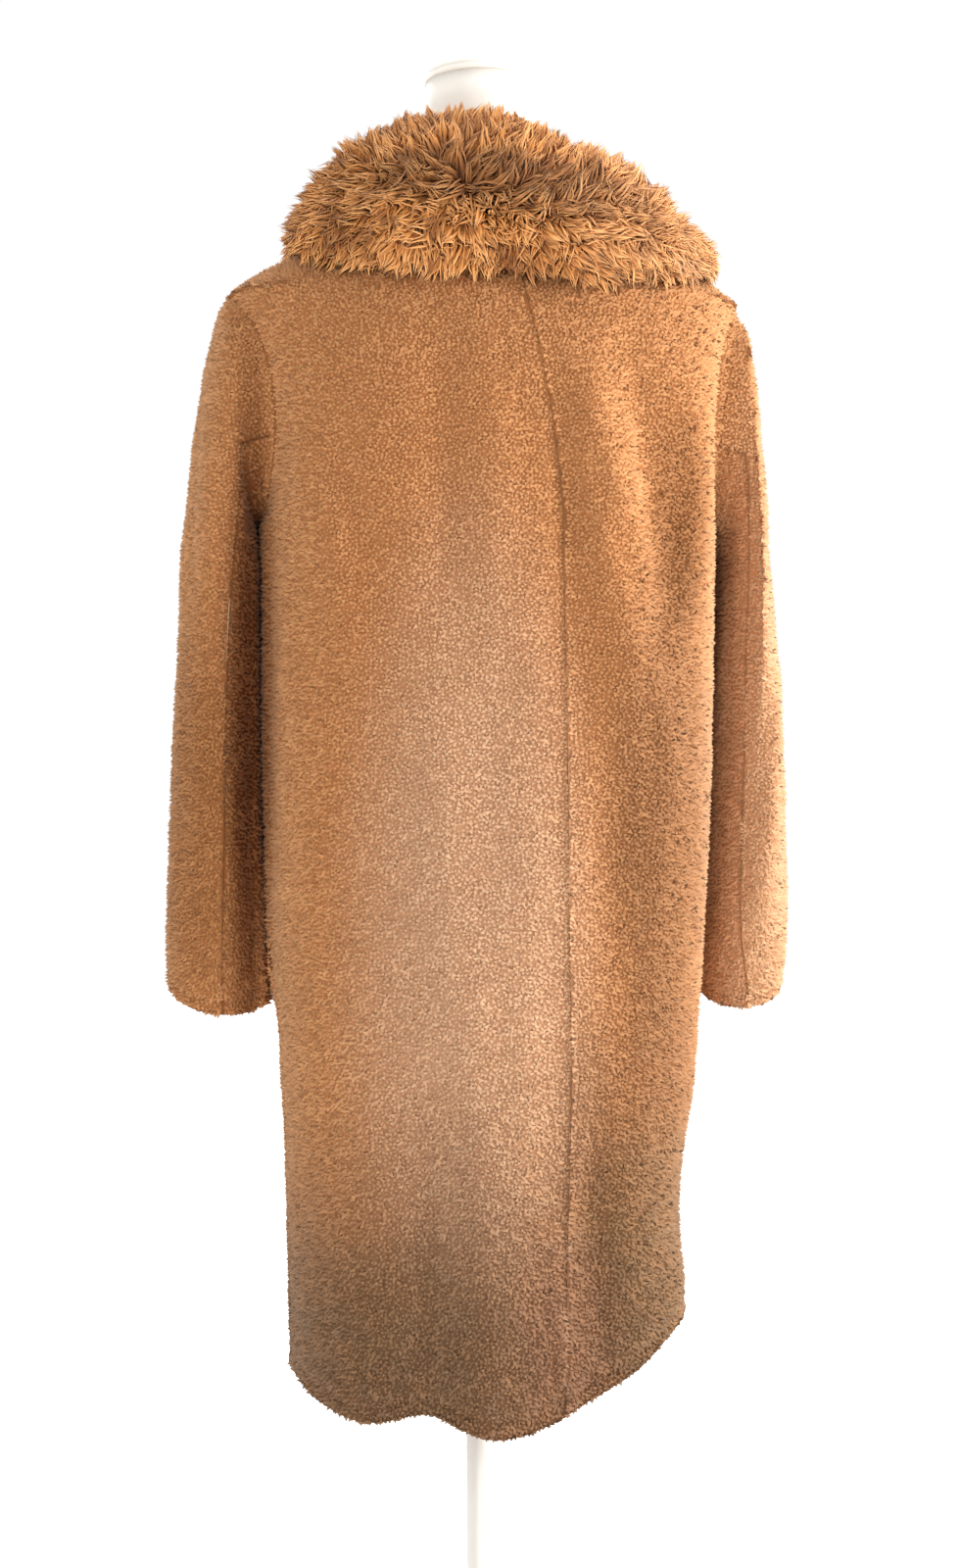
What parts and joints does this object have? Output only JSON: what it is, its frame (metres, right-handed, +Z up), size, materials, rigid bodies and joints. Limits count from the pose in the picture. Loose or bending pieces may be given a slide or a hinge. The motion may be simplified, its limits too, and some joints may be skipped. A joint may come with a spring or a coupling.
{
  "type": "faux fur coat on a limbless dress form with stand",
  "caption": "Knee-length coat of short curly camel pile with a wide shaggy collar, closed in front, worn by a plain white dress form on a round base.",
  "frame": {"origin": "centre of the stand base's underside, on the floor", "axes": "+Z up, -Y towards the coat's front, +X towards the coat's left side"},
  "size_m": [0.575, 0.3489, 1.4783],
  "materials": {
    "short_pile": "curly short pile, camel",
    "long_pile": "shaggy long pile, warm camel",
    "form_shell": "smooth off-white",
    "stand_enamel": "white enamel"
  },
  "bodies": {
    "root": {"back_left": "short_pile", "back_right": "short_pile", "front_left": "short_pile", "front_right": "short_pile", "sleeve_top_left": "short_pile", "sleeve_top_right": "short_pile", "sleeve_under_left": "short_pile", "sleeve_under_right": "short_pile", "collar": "long_pile", "form_torso": "form_shell", "form_neck_cap": "form_shell", "stand_pole": "stand_enamel", "stand_base": "stand_enamel"}
  },
  "joints": []
}
